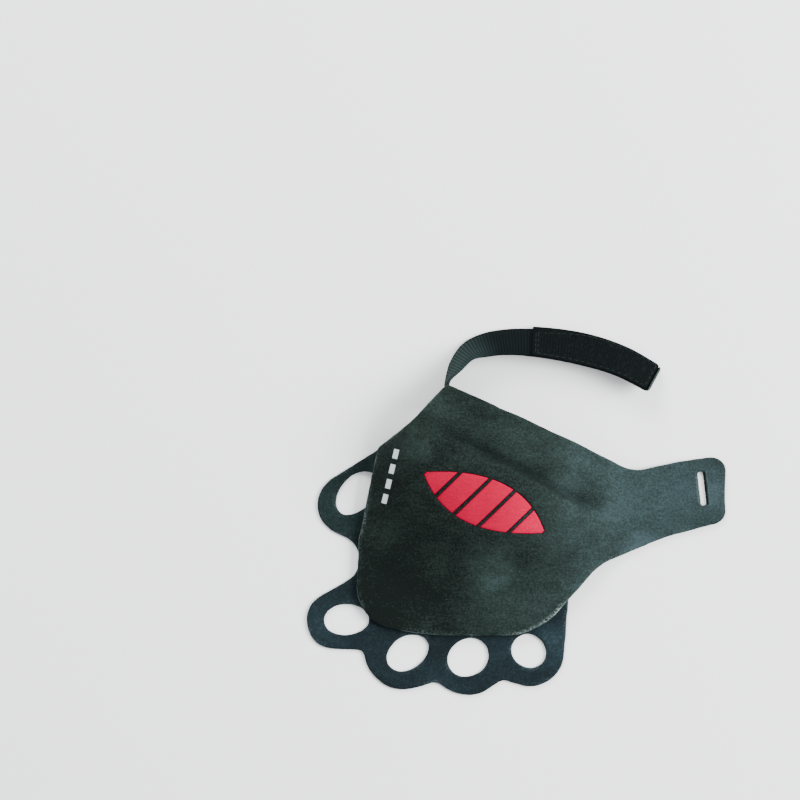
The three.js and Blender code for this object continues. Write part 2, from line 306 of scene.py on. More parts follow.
# How far, in spacings, the free points of a face stay off its edge rows, what share of an edge's
# rounding the underside takes, and the least wall that wear leaves
CLEAR_OF_EDGE = 0.6
UNDER_ROUNDING = 0.3
THINNEST = 0.2
SAME_POINT = 1e-7


def cut_sheet(name, loops, rows, seat, thickness, spacing, material, worn_loops=1, dent=None):
    """A cut layer over the arch. The first of `loops` is its outline and the rest are holes; each
    gives its points for an inset. `rows` pairs an inset with how far the edge is rounded down.
    `dent` gives how far the face is worn down. The shade `edge` is the distance to the nearest of
    the first `worn_loops`."""
    places, drops, chains = [], [], []
    for loop in loops:
        for inset, drop in rows:
            ring = loop(inset)
            first, count = len(places), len(ring)
            places += [tuple(p) for p in ring]
            drops += [drop] * count
            chains += [(first + i, first + (i + 1) % count) for i in range(count)]
    edge = [loop(0) for loop in loops]
    low, high = edge[0].min(0), edge[0].max(0)
    columns = np.arange(low[0], high[0], spacing)
    lines = np.arange(low[1], high[1], spacing * math.sqrt(0.75))
    grid = np.array([(x + spacing / 2 * (j % 2), y) for j, y in enumerate(lines) for x in columns])
    grid = grid[on_layer(grid, edge)]
    grid = grid[distance_to(edge, grid) > rows[-1][0] + CLEAR_OF_EDGE * spacing]
    places += [tuple(p) for p in grid]
    drops += [0] * len(grid)

    made = delaunay_2d_cdt([Vector(p) for p in places], chains, [], 0, SAME_POINT)
    spots = np.array([tuple(p) for p in made[0]])
    origins = [ids[0] if ids else -1 for ids in made[3]]
    triangles = np.array([f for f in made[2] if len(f) == 3])
    triangles = triangles[on_layer(spots[triangles].mean(axis=1), edge)]
    drops = np.array([drops[i] if i >= 0 else 0 for i in origins])
    insets = distance_to(edge[:worn_loops], spots)

    x, y = spots[:, 0], spots[:, 1]
    base, stretch, raised = arch_height(x, y), slope_stretch(x, y), seat(x, y)
    under = base + (raised + UNDER_ROUNDING * drops * thickness) * stretch
    over = base + (raised + thickness * (1 - drops)) * stretch
    if dent:
        over = np.maximum(over - dent(x, y), under + THINNEST)
    points = [(*p, z) for p, z in zip(spots, over)] + [(*p, z) for p, z in zip(spots, under)]
    count = len(spots)
    ahead = spots[triangles[:, 1]] - spots[triangles[:, 0]]
    aside = spots[triangles[:, 2]] - spots[triangles[:, 0]]
    flipped = ahead[:, 0] * aside[:, 1] - ahead[:, 1] * aside[:, 0] < 0
    triangles[flipped] = triangles[flipped][:, ::-1]
    faces = [tuple(t) for t in triangles] + [tuple(t[::-1] + count) for t in triangles]
    sides = dict.fromkeys(side for a, b, c in triangles for side in ((a, b), (b, c), (c, a)))
    for a, b in sides:
        if (b, a) not in sides:
            faces.append((b, a, a + count, b + count))
    return new_piece(name, points, faces, material, dict(edge=np.concatenate((insets, insets))))


# The sockets that a Mix node has for colours
MIX_FACTOR, MIX_FIRST, MIX_SECOND = 0, 6, 7


class Shade:
    """One socket of a material, so that shader maths is written as sums and products."""

    def __init__(self, tree, socket=None):
        self.tree = tree
        self.socket = socket

    def node(self, kind, settings=None, values=None, output=0):
        """A new node's output: its settings come first, then its sockets' values or links."""
        made = self.tree.nodes.new("ShaderNode" + kind)
        for key, value in (settings or {}).items():
            setattr(made, key, value)
        for key, value in (values or {}).items():
            if isinstance(value, Shade):
                self.tree.links.new(value.socket, made.inputs[key])
            elif hasattr(value, "__len__") and made.inputs[key].type == "RGBA" and len(value) == 3:
                made.inputs[key].default_value = (*value, 1)
            else:
                made.inputs[key].default_value = value
        return Shade(self.tree, made.outputs[output])

    def maths(self, operation, first, second=0.0, clamp=False):
        return self.node("Math", dict(operation=operation, use_clamp=clamp), {0: first, 1: second})

    def __add__(self, other):
        return self.maths("ADD", self, other)

    def __sub__(self, other):
        return self.maths("SUBTRACT", self, other)

    def __rsub__(self, other):
        return self.maths("SUBTRACT", other, self)

    def __mul__(self, other):
        return self.maths("MULTIPLY", self, other)

    __radd__ = __add__
    __rmul__ = __mul__

    def clamped(self):
        return self.maths("ADD", self, 0.0, clamp=True)

    def between(self, low, high):
        """0 below `low` and 1 above `high`, smooth in between."""
        settings = dict(interpolation_type="SMOOTHSTEP")
        return self.node("MapRange", settings, {"Value": self, "From Min": low, "From Max": high})

    def mixed(self, first, second):
        """From the first colour to the second as this value goes from 0 to 1."""
        values = {MIX_FACTOR: self, MIX_FIRST: first, MIX_SECOND: second}
        return self.node("Mix", dict(data_type="RGBA"), values, output=2)

    def tinted(self, colour):
        """This colour times another."""
        return self.node("VectorMath", dict(operation="MULTIPLY"), {0: self, 1: colour})

    def along(self, way):
        """How far this point lies along a direction."""
        return self.node("VectorMath", dict(operation="DOT_PRODUCT"), {0: self, 1: way}, output=1)


def new_material(name):
    """A material with nothing but its output. The Shade returned starts its nodes."""
    material = bpy.data.materials.new(name)
    material.use_nodes = True
    material.node_tree.nodes.clear()
    return material, Shade(material.node_tree)


def finish_material(start, values):
    """The surface itself, with its sockets' values, and the material's output."""
    surface = start.node("BsdfPrincipled", None, values)
    output = start.tree.nodes.new("ShaderNodeOutputMaterial")
    start.tree.links.new(surface.socket, output.inputs["Surface"])


def place(start, stretch=(1, 1, 1), turn=0.0):
    """The point on the piece in millimetres, stretched and turned about Z."""
    values = {"Vector": start.node("TexCoord", output=3)}
    values["Scale"] = tuple(s / MM for s in stretch)
    values["Rotation"] = (0, 0, turn)
    return start.node("Mapping", None, values)


def mottle(start, size, detail=3, roughness=0.55, stretch=(1, 1, 1), turn=0.0):
    """Noise whose patches are about `size` millimetres across, stretched and turned."""
    values = {"Vector": place(start, stretch, turn), "Scale": 1 / size}
    return start.node("TexNoise", None, {**values, "Detail": detail, "Roughness": roughness})


def relief(start, height, strength, depth):
    """A bump whose height 1 stands `depth` millimetres proud."""
    values = {"Strength": strength, "Distance": depth * MM, "Height": height}
    return start.node("Bump", None, values)


def toned(start, where, spots, warp):
    """Sum of soft lighter and darker spots, partly wear and partly painted light and shade. `warp`
    is a shade that makes their edges ragged.
    """
    total = 0
    flat = start.node("VectorMath", dict(operation="MULTIPLY"), {0: where, 1: (1, 1, 0)})
    for spot in spots:
        centre = (spot["at"][0] + ORIGIN.x / MM, spot["at"][1] + ORIGIN.y / MM, 0)
        away = start.node("VectorMath", dict(operation="DISTANCE"), {0: flat, 1: centre}, output=1)
        total = total + (1 - (away + warp).between(0, spot["reach"])) * spot["lift"]
    return total


def spread(where, tint):
    """A tint that goes from one colour to another along a direction."""
    return where.along(tint["way"]).between(*tint["reach"]).mixed(tint["first"], tint["last"])


# The nap's patches, smudges, grain, brushing and specks, and how deep they change its tone
NAP_NOISES = (
    dict(size=17, detail=4),
    dict(size=5, detail=4, stretch=(0.45, 1, 1), turn=math.radians(8)),
    dict(size=0.95, detail=4, roughness=0.85),
    dict(size=0.9, detail=2, stretch=(0.16, 1.3, 1), turn=math.radians(3)),
    dict(size=0.55, detail=2, roughness=0.8),
)
NAP_DEPTH = dict(patches=0.45, smudges=0.45, grain=1.8, specks=0.4)
NAP_TONE = 0.12
SPOT_WARP = dict(worn=30, frayed=10)
# How far in from the cut edge each kind of wear goes
RIM = dict(reach=(0.1, 0.5), least=0.08, most=0.5)
SCUFF = dict(reach=(0.2, 2.6), depth=0.6)
FRAY_REACH = (0.1, 2.0)
# The pale rim and scuffs are painted faint along the wrist edge, as shade on its cut edge
WRIST_EDGE_SHADE = dict(least=0.15, reach=(2, 9))
SHEEN = 2.2


def suede(name, tones, worn, spots, streak, tint, marks=None):
    """Brushed leather: fine nap, soft spots, partly worn and partly painted light and shade, and a
    paler rubbed rim, painted faint along the wrist edge as shade. The three tones are its dark
    ground, its nap, and its pale nap where it is rubbed or painted lit. `marks` holds the places
    where the rim is frayed, and functions for the crease's painted shade, the slot's painted shade
    and wear, and the print."""
    material, start = new_material(name)
    where = place(start)
    patches, smudges, grain, brushed, specks = (mottle(start, **kind) for kind in NAP_NOISES)
    tone = toned(start, where, spots, (patches - 0.5) * SPOT_WARP["worn"])
    tone = tone + (patches - 0.5) * NAP_DEPTH["patches"] + (smudges - 0.5) * NAP_DEPTH["smudges"]
    tone = tone + (grain - 0.5) * NAP_DEPTH["grain"] + (brushed - 0.5) * streak + NAP_TONE
    edge = start.node("Attribute", dict(attribute_name="edge"), output=2)
    scuffed = patches.between(0.46, 0.6)
    # Painted shade: near the wrist edge, whose cut edge lies in shadow, the pale rim and scuffs
    # fade out
    from_wrist = where.along(FROM_WRIST) - FROM_WRIST.dot(WRIST_POINT)
    past_wrist_shade = from_wrist.between(*WRIST_EDGE_SHADE["reach"])
    rubbed = WRIST_EDGE_SHADE["least"] + (1 - WRIST_EDGE_SHADE["least"]) * past_wrist_shade
    rim = (1 - edge.between(*RIM["reach"])) * (RIM["least"] + scuffed * RIM["most"]) * rubbed
    scuff = (1 - edge.between(*SCUFF["reach"])) * specks.between(0.5, 0.66) * scuffed
    scuff = scuff * SCUFF["depth"] * rubbed
    flecks = specks.between(0.64, 0.74) * NAP_DEPTH["specks"]
    ground, nap, pale = tones
    body = (tone * 2).clamped().mixed(ground, nap)
    body = (tone * 2 - 1).clamped().mixed(body, pale).tinted(spread(where, tint))
    body = (rim + scuff + flecks).clamped().mixed(body, worn)
    if marks:
        frayed = toned(start, where, marks["scuffs"], (smudges - 0.5) * SPOT_WARP["frayed"])
        frayed = frayed.clamped() * (1 - edge.between(*FRAY_REACH)) * grain.between(0.46, 0.60)
        body = frayed.mixed(body, marks["fray_colour"])
        # Painted shade: the crease's bottom is darkened towards the ground tone
        crease_shade = marks["crease_shade"](start, where, smudges - 0.5)
        body = (crease_shade * (0.35 + 0.5 * grain)).clamped().mixed(body, ground)
        # Painted shade darkens the slot's dented side, and a painted highlight along with the
        # rub's wear pales the ridge beyond it
        groove, ridge = marks["wear"](start, where)
        body = (groove * 0.85).mixed(body, ground)
        body = (ridge * grain.between(0.3, 0.6)).mixed(body, worn)
        printed = marks["print"](start, where) * specks.between(0.24, 0.36)
        body = printed.mixed(body, marks["print_colour"])
    height = grain * 0.6 + brushed * 0.4 + specks * 0.35
    finish_material(start, {
        "Base Color": body,
        "Roughness": 0.82 + 0.15 * grain,
        "Normal": relief(start, height, strength=0.5, depth=0.22),
        "Specular IOR Level": 0.09,
        "Sheen Weight": 0.06,
        "Sheen Roughness": 0.5,
        "Sheen Tint": tuple(c * SHEEN for c in worn),
    })
    return material


# The way from the wrist edge to the fingers
FROM_WRIST = Vector((math.sin(WRIST_EDGE_ANGLE), -math.cos(WRIST_EDGE_ANGLE), 0))
WRIST_POINT = Vector((*WRIST_CORNER, 0)) + ORIGIN / MM
LOOP_TINT = dict(way=(0, -1, 0), reach=(0, 45), first=(1.04, 1.04, 0.88), last=(0.97, 1, 1.055))
LOOP_STREAK = 0.15

# Mesh spacing on the layers' faces, along their outlines and round their holes
FACE_STEP = 1.0
EDGE_STEP = 0.9
HOLE_STEP = 0.8
# Rows round a cut edge: how far in each lies, and what share of the thickness is rounded off it
LOOP_ROWS = ((0, 0.42), (0.12, 0.2), (0.35, 0.06), (0.75, 0))

loop_suede = suede("loop suede", LOOP_TONES, LOOP_WORN, LOOP_SPOTS, LOOP_STREAK, LOOP_TINT)
loop_layer = cut_sheet(
    "loop_layer_suede",
    [lambda inset: belt(LOOP_DISCS, inset, EDGE_STEP)]
    + [lambda inset, hole=hole: oval(hole, inset, HOLE_STEP) for hole in FINGER_HOLES],
    LOOP_ROWS,
    lambda x, y: np.zeros_like(x),
    LOOP_THICKNESS,
    FACE_STEP,
    loop_suede,
    worn_loops=1 + len(FINGER_HOLES),
)
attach(loop_layer, "root")
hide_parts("loop_layer")


# Back panel
# A thicker suede with rubber rolled into it, greenish black and brushed along the hand. It is
# glued on the loop layer, runs out into the wrist tab with its slot, and windows are cut in it
# over the inlay.

PANEL_THICKNESS = 1.9
SEAT_GAP = 0.3
PANEL_TONES = ((0.0016, 0.0036, 0.0032), (0.0115, 0.0205, 0.0182), (0.0280, 0.0475, 0.0490))
PANEL_WORN = (0.068, 0.100, 0.096)
# Lighter and darker spots in the nap's tone, partly wear and partly painted light and shade: the
# bright tab and neck and the pale thumb flank and wrist corner are painted sheen and light, and
# the dark index corner is painted shade where the arch slopes away from the light.
PANEL_SPOTS = table(
    "at reach lift name",
    ((66, 6), 62, 0.60, "tab and neck"),
    ((45, 0), 17, 0.20, "neck, rubbed"),
    ((30, 25), 26, 0.27, "wrist edge by the neck"),
    ((52, -18), 17, 0.46, "lower edge of the neck"),
    ((33, -31), 20, 0.42, "edge behind the heel"),
    ((88, 9), 12, 0.36, "end of the tab"),
    ((22, -10), 32, 0.33, "heel of the hand"),
    ((-33, 45), 18, 0.26, "wrist corner"),
    ((-38, 37), 13, 0.10, "top of the thumb flank"),
    ((-45, 26), 13, 0.36, "thumb flank"),
    ((-27, 28), 13, -0.04, "behind the flank"),
    ((4, 32), 34, 0.25, "wrist edge"),
    ((12, -42), 24, 0.36, "behind the little finger"),
    ((-9, -38), 27, 0.32, "knuckles"),
    ((-12, -22), 17, 0.30, "brushed patch"),
    ((-54, -36), 44, -0.27, "index corner, dark"),
    ((-36, -23), 15, 0.22, "smudge in the dark corner"),
    ((-57, -10), 14, 0.24, "smudge by the thumb side"),
    ((-38, -49), 10, 0.16, "edge by the middle finger"),
)
PANEL_TINT = dict(way=(1, 0, 0), reach=(-55, 90), first=(1, 1, 0.92), last=(1.02, 1, 1.10))
PANEL_STREAK = 0.3
PANEL_SCUFFS = table(
    "at reach lift name",
    ((16, -45), 12, 1.2, "edge by the little finger"),
    ((4, -52), 10, 0.5, "edge by the ring finger"),
    ((-66, -3), 14, 0.24, "edge by the thumb"),
)
FRAY_COLOUR = (0.22, 0.27, 0.26)
MARK_COLOUR = (0.50, 0.54, 0.53)
MARKS = dict(at=(-53.6, 14.6), turn=-103.5, count=4, pitch=6.6, length=4.2, width=2.3)
SEAT_STEP = dict(at=(28.2, 17.2), across=-5, foot=6, crest=20)
SLOT = dict(at=(80.3, 9.2), length=14.8, width=2.4, tilt=-83.5, step=0.5, uneven=0.2)

# The strap's wear along the slot's outer side: the dent, then the groove, painted dark as shade,
# the ridge, painted pale as highlight, and the rub
SLOT_DENT = dict(depth=1.1, reach=1.0, before=0.7, ends=(1.6, 0.2))
SLOT_SHADE_AND_WEAR = table("past shorter width", (0.5, 0.6, 1.0), (1.5, 0, 0.7), (-3.0, 2, 1.3))

PANEL_DISCS = table(
    "at r side name",
    ((-28.9, 51.7), 2.1, 1, "wrist corner"),
    ((-60.2, 58.0), 24.9, -1, "wrist flank"),
    ((-56.0, 25.1), 3.2, 1, "thumb shoulder"),
    ((-55.3, -14.0), 12.0, 1, "thumb side"),
    ((-49.5, -32.7), 18.5, 1, "index corner"),
    ((-32.3, 4.4), 58.1, 1, "knuckle edge"),
    ((-4.4, -24.1), 29.8, 1, "little corner"),
    ((54.4, -48.6), 30.3, -1, "armpit"),
    ((105.7, -134.0), 129.0, -1, "tab sweep"),
    ((83.9, 0.4), 6.6, 1, "tab lower corner"),
    ((84.5, 16.8), 5.9, 1, "tab upper corner"),
    ((97.4, -136.9), 160.0, 1, "tab edge"),
    ((52.9, 36.7), 19.1, -1, "tab neck"),
    ((-41.4, -105.0), 150.0, 1, "wrist edge"),
)

# The inlay is a slanting leaf cut into slices, with a bridge of panel left between them
LEAF = dict(at=(-13.5, 3.5), length=56, height=20, tilt=-26.6, shear=0.35, point=1.2)
LEAF_SLICES = 5
LEAF_BRIDGE = 2.0
LEAF_CLEARANCE = 0.3


def seat_level(x, y):
    """Past the end of the loop layer the panel sinks by its thickness, down to the table."""
    past = smooth(distance_past(SEAT_STEP, x, y), SEAT_STEP["foot"], SEAT_STEP["crest"])
    return (LOOP_THICKNESS + SEAT_GAP) * (1 - past)


def slot_loop(inset):
    along = heading(math.radians(SLOT["tilt"]))
    reach = (SLOT["length"] - SLOT["width"]) / 2
    ends = [
        dict(at=SLOT["at"] + way * reach * along, r=SLOT["width"] / 2, side=1) for way in (1, -1)
    ]
    return belt(ends, -inset, SLOT["step"], uneven=SLOT["uneven"])


def leaf_slice(index, grow, steps=14):
    """One slice of the leaf, from one bridge to the next, grown by `grow`."""
    length = (LEAF["length"] - LEAF_BRIDGE * (LEAF_SLICES - 1)) / LEAF_SLICES
    middle = (index - (LEAF_SLICES - 1) / 2) * (length + LEAF_BRIDGE)
    run = middle + np.linspace(-1, 1, steps + 1) * (length / 2 + grow)
    share = 2 * run / LEAF["length"]
    half = LEAF["point"] / 2 + LEAF["height"] / 2 * np.maximum(1 - share * share, 0) + grow
    lower, upper = np.stack((run, -half), axis=1), np.stack((run, half), axis=1)[::-1]
    rise = np.linspace(0, 1, steps)[1:-1, None]
    right = lower[-1] + (upper[0] - lower[-1]) * rise
    left = upper[-1] + (lower[0] - upper[-1]) * rise
    ring = np.concatenate((lower, right, upper, left))
    return laid(LEAF, ring[:, 0] + LEAF["shear"] * ring[:, 1], ring[:, 1])


SOFT_EDGE = dict(inside=0.25, outside=0.1)


def bar(start, where, at, turn, length, width):
    """1 on a bar that lies flat on the piece, with soft edges, and 0 round it."""
    mask = 1
    for size, angle in ((length, turn), (width, turn + math.pi / 2)):
        way = Vector((math.cos(angle), math.sin(angle), 0))
        middle = way.dot(Vector((*at, 0)) + ORIGIN / MM)
        far = start.maths("ABSOLUTE", where.along(way) - middle)
        inner, outer = size / 2 - SOFT_EDGE["inside"], size / 2 + SOFT_EDGE["outside"]
        mask = mask * (1 - far.between(inner, outer))
    return mask


def printed_dashes(start, where):
    """A row of plain dashes printed along the thumb side: 1 on a dash and 0 elsewhere."""
    turn = math.radians(MARKS["turn"])
    total = 0
    for index in range(MARKS["count"]):
        past = (index - (MARKS["count"] - 1) / 2) * MARKS["pitch"]
        at = (MARKS["at"][0] + past * math.cos(turn), MARKS["at"][1] + past * math.sin(turn))
        total = total + bar(start, where, at, turn, MARKS["length"], MARKS["width"])
    return total


def slot_side(past):
    """The point `past` millimetres outside the slot's outer side, level with its middle."""
    tilt = math.radians(SLOT["tilt"])
    reach = SLOT["width"] / 2 + past
    return SLOT["at"][0] - reach * math.sin(tilt), SLOT["at"][1] + reach * math.cos(tilt)


def slot_dent(x, y):
    """The slot's outer side is worn down where the strap pulls over it."""
    past, along = (
        distance_past(dict(at=slot_side(0), across=SLOT["tilt"] + turn), x, y) for turn in (90, 0)
    )
    reach = SLOT["length"] / 2
    dent = SLOT_DENT["depth"] * (1 - smooth(past, 0, SLOT_DENT["reach"]))
    dent = dent * (past > -SLOT_DENT["before"])
    inner, outer = SLOT_DENT["ends"]
    return dent * (1 - smooth(abs(along), reach - inner, reach + outer))


def slot_shade_and_wear(start, where):
    """How dark the worn side is painted, as shade, and how pale the ridge beyond it, a painted
    highlight, and the rub before it are.
    """
    turn = math.radians(SLOT["tilt"])
    groove, ridge, rub = (
        bar(start, where, slot_side(w["past"]), turn, SLOT["length"] - w["shorter"], w["width"])
        for w in SLOT_SHADE_AND_WEAR
    )
    return groove, ridge * 0.5 + rub * 0.3


# Painted shade in the crease's bottom, and where it begins and ends along the wrist
ALONG_WRIST = Vector((math.cos(WRIST_EDGE_ANGLE), math.sin(WRIST_EDGE_ANGLE), 0))
CREASE_SHADING = dict(past=0.8, ragged=1.6, reach=(0.1, 1.9), begins=(12, 32), ends=(58, 80))


def paint_crease_shade(start, where, ragged):
    """1 in the bottom of the crease, where shade is painted dark into the nap, and 0 beside it."""
    past_wrist = where.along(FROM_WRIST) - FROM_WRIST.dot(WRIST_POINT)
    past_corner = where.along(ALONG_WRIST) - ALONG_WRIST.dot(WRIST_POINT)
    wave = start.maths("SINE", past_corner * (1 / CREASE_WANDER["pitch"]))
    middle = CREASE["along"] + CREASE_SHADING["past"] + wave * CREASE_WANDER["depth"]
    off = start.maths("ABSOLUTE", past_wrist - middle + ragged * CREASE_SHADING["ragged"])
    span = past_corner.between(*CREASE_SHADING["begins"]) * (1 - past_corner.between(*CREASE_SHADING["ends"]))
    return (1 - off.between(*CREASE_SHADING["reach"])) * span


PANEL_ROWS = ((0, 0.36), (0.12, 0.16), (0.3, 0.05), (0.55, 0))
PANEL_MARKS = dict(
    scuffs=PANEL_SCUFFS,
    fray_colour=FRAY_COLOUR,
    crease_shade=paint_crease_shade,
    wear=slot_shade_and_wear,
    print=printed_dashes,
    print_colour=MARK_COLOUR,
)

panel_suede = suede(
    "panel suede", PANEL_TONES, PANEL_WORN, PANEL_SPOTS, PANEL_STREAK, PANEL_TINT, PANEL_MARKS
)
back_panel = cut_sheet(
    "back_panel_suede",
    [lambda inset: belt(PANEL_DISCS, inset, EDGE_STEP), slot_loop]
    + [
        lambda inset, index=index: leaf_slice(index, LEAF_CLEARANCE + inset)
        for index in range(LEAF_SLICES)
    ],
    PANEL_ROWS,
    seat_level,
    PANEL_THICKNESS,
    FACE_STEP,
    panel_suede,
    worn_loops=2,
    dent=slot_dent,
)
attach(back_panel, "root")
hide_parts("back_panel")


# Inlay
# Bright red brushed microfibre, cut into slices and glued on the loop layer inside the panel's
# windows, a little below the panel's face.

INLAY_THICKNESS = 1.5
INLAY_COLOUR = (0.310, 0.0001, 0.0220)
INLAY_NAP = (0.420, 0.0002, 0.0340)
INLAY_PALE = (0.540, 0.0180, 0.0760)
INLAY_SPREAD = 0.22
# The inlay's right end is lighter: partly rubbed wear, partly painted light falling from the right
INLAY_SPOTS = table(
    "at reach lift name",
    ((10, -6), 26, 0.55, "rubbed end"),
    ((-20, 2), 14, 0.15, "rubbed middle"),
)
INLAY_ROWS = ((0, 0.14), (0.15, 0.04), (0.4, 0))
INLAY_STEP = 0.8
# The cloth's grain, fibres and patches
INLAY_NOISES = (
    dict(size=0.7, detail=4, roughness=0.75),
    dict(size=0.8, detail=2, stretch=(0.2, 1.2, 1), turn=math.radians(-30)),
    dict(size=9),
)
INLAY_DEPTH = dict(grain=1.4, fibres=0.6, patches=0.5)
INLAY_TONE = 0.1
INLAY_WARP = 14


def red_cloth():
    material, start = new_material("inlay cloth")
    where = place(start)
    grain, fibres, patches = (mottle(start, **kind) for kind in INLAY_NOISES)
    tone = toned(start, where, INLAY_SPOTS, (patches - 0.5) * INLAY_WARP)
    tone = tone + (grain - 0.5) * INLAY_DEPTH["grain"] + (fibres - 0.5) * INLAY_DEPTH["fibres"]
    tone = tone + (patches - 0.5) * INLAY_DEPTH["patches"] + INLAY_TONE
    body = (tone * 1.6).clamped().mixed(INLAY_COLOUR, INLAY_NAP)
    body = (tone * 1.6 - 0.9).clamped().mixed(body, INLAY_PALE)
    finish_material(start, {
        "Base Color": body,
        "Roughness": 0.75,
        "Normal": relief(start, grain, strength=0.4, depth=0.12),
        "Specular IOR Level": 0.05,
    })
    return material


inlay_cloth = red_cloth()
for index in range(LEAF_SLICES):
    inlay = cut_sheet(
        f"inlay_cloth_{index + 1}",
        [lambda inset, index=index: leaf_slice(index, INLAY_SPREAD - inset)],
        INLAY_ROWS,
        seat_level,
        INLAY_THICKNESS,
        INLAY_STEP,
        inlay_cloth,
    )
    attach(inlay, "root")
    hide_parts(f"inlay_{index + 1}")


# Wrist strap
# Black 15 mm webbing with ribs across it and a plain selvedge along each edge. It is sewn up
# under the wrist corner, leaves it on its edge, and leans over towards its tip.

STRAP = dict(width=14.5, thickness=1.4, clearance=0.2)
RIB_PITCH = 1.27
RIB_HEIGHT = 0.16
RIB_FLATNESS = 0.6
RIB_STEPS = 7
SELVEDGE = dict(width=1.1, low=0.10, knit=0.10, dip=0.08, bank=0.3)
# The selvedge's section: how far in from the strap's edge, and what share of the knit's height
SELVEDGE_SHAPE = ((0, 0), (0.12, 0.7), (0.45, 1), (0.95, 0.95))
TIP = dict(corner=2.3, fold=1.2, rise=1.42, bend=0.2)
WEB_COLOUR = (0.0008, 0.0014, 0.0015)
WEB_NAP = (0.0034, 0.0062, 0.0072)
# The next colour is a painted highlight for the strap's turn, whose face is turned up to the light
WEB_PAINTED_HIGHLIGHT = (0.0205, 0.0350, 0.0335)
WEB_SEALED = (0.0480, 0.0580, 0.0560)
WEB_NOISES = (dict(size=0.5, roughness=0.75), dict(size=6))
WEB_WARP = 6
# Where the sealed end's melted yarn starts and is whole, before the tip
WEB_SEAL = (0.95, 0.6)
WEB_LIT_SPOTS = table("at reach lift name", ((-26, 63), 22, 0.90, "turn, rubbed"))
STRAP_STATIONS = table(
    "at lean lift name",
    ((-31.2, 45.2), 80, 2.0, "sewn end"),
    ((-29.8, 50.4), 84, 0.7, "seam"),
    ((-29.0, 55.3), 85, 0, "corner"),
    ((-25.4, 61.8), 67, 0, "rise"),
    ((-20.1, 68.0), 57, 0, "turn"),
    ((-12.7, 70.8), 46, 0, "shoulder"),
    ((-3.6, 72.1), 41, 0, "crest"),
    ((7.3, 71.9), 35, 0, "patch start"),
    ((28.0, 68.9), 26, 0, "patch middle"),
    ((45.0, 63.6), 31, 0, "patch fall"),
    ((59.9, 55.6), 37, 0, "tip"),
)


def station_place(station):
    tilt = math.radians(station["lean"])
    half = (STRAP["width"] * math.sin(tilt) + STRAP["thickness"] * math.cos(tilt)) / 2
    return np.array((*station["at"], STRAP["clearance"] + station["lift"] + half))


def cubic(start, end, leave, reach, t):
    """From start to end as t goes from 0 to 1, with these speeds at the two ends."""
    bend = 2 * start - 2 * end + leave + reach
    return start + leave * t + (-3 * start + 3 * end - 2 * leave - reach) * t * t + bend * t ** 3


def route_point(places, share):
    """A point of the centripetal curve through the places, for a share from 0 to 1."""
    where = share * (len(places) - 1)
    i = min(int(where), len(places) - 2)
    t = where - i
    start, end = places[i], places[i + 1]
    before = places[i - 1] if i > 0 else 2 * start - end
    after = places[i + 2] if i + 2 < len(places) else 2 * end - start
    steps = ((before, start), (start, end), (end, after))
    back, here, on = (math.sqrt(np.linalg.norm(b - a)) for a, b in steps)
    leave = (start - before) / back - (end - before) / (back + here) + (end - start) / here
    reach = (end - start) / here - (after - start) / (here + on) + (after - end) / on
    return cubic(start, end, leave * here, reach * here, t)


def lean_at(share):
    leans = [s["lean"] for s in STRAP_STATIONS]
    where = share * (len(leans) - 1)
    i = min(int(where), len(leans) - 2)
    t = where - i
    start, end = leans[i], leans[i + 1]
    leave = (end - leans[max(i - 1, 0)]) / 2
    reach = (leans[min(i + 2, len(leans) - 1)] - start) / 2
    return cubic(start, end, leave, reach, t)


ROUTE_SAMPLES = 1200
STATION_PLACES = [station_place(s) for s in STRAP_STATIONS]
route_shares = np.linspace(0, 1, ROUTE_SAMPLES + 1)
route = np.array([route_point(STATION_PLACES, s) for s in route_shares])
route_run = np.concatenate(((0,), np.cumsum(np.linalg.norm(np.diff(route, axis=0), axis=1))))
STRAP_LENGTH = route_run[-1]


def strap_frame(run):
    """Centre, direction, crosswise and outward directions of the strap, `run` mm along it."""
    share = np.interp(run, route_run, route_shares)
    step = 0.5 / ROUTE_SAMPLES
    centre = route_point(STATION_PLACES, share)
    ahead = route_point(STATION_PLACES, min(share + step, 1))
    ahead -= route_point(STATION_PLACES, max(share - step, 0))
    ahead /= np.linalg.norm(ahead)
    tilt = math.radians(lean_at(share))
    right = np.array((ahead[1], -ahead[0], 0))
    right /= np.linalg.norm(right)
    face = np.array((0, 0, math.cos(tilt))) - math.sin(tilt) * right
    face -= face.dot(ahead) * ahead
    face /= np.linalg.norm(face)
    return centre, ahead, np.cross(face, ahead), face


def tube(rings, sides, first=0):
    """Faces of a closed tube of rings whose points run on from `first`."""
    faces = []
    for ring in range(rings - 1):
        for side in range(sides):
            a, b = first + ring * sides + side, first + ring * sides + (side + 1) % sides
            faces.append((a, b, b + sides, a + sides))
    faces.append(tuple(first + side for side in reversed(range(sides))))
    faces.append(tuple(first + (rings - 1) * sides + side for side in range(sides)))
    return faces


def band(name, runs, profile, material):
    """A band along the strap. profile(run) gives its section as (across, out) points, in order."""
    points, along = [], []
    for run in runs:
        centre, _, across, face = strap_frame(run)
        for side, out in profile(run):
            points.append(tuple(centre + across * side + face * out))
            along.append(run)
    faces = tube(len(runs), len(points) // len(runs))
    return new_piece(name, points, faces, material, dict(along=along))


def tip_width(width, left):
    """Half of a width, `left` mm before a rounded end."""
    left = min(left, TIP["corner"])
    return width / 2 - TIP["corner"] + math.sqrt(TIP["corner"] ** 2 - (TIP["corner"] - left) ** 2)


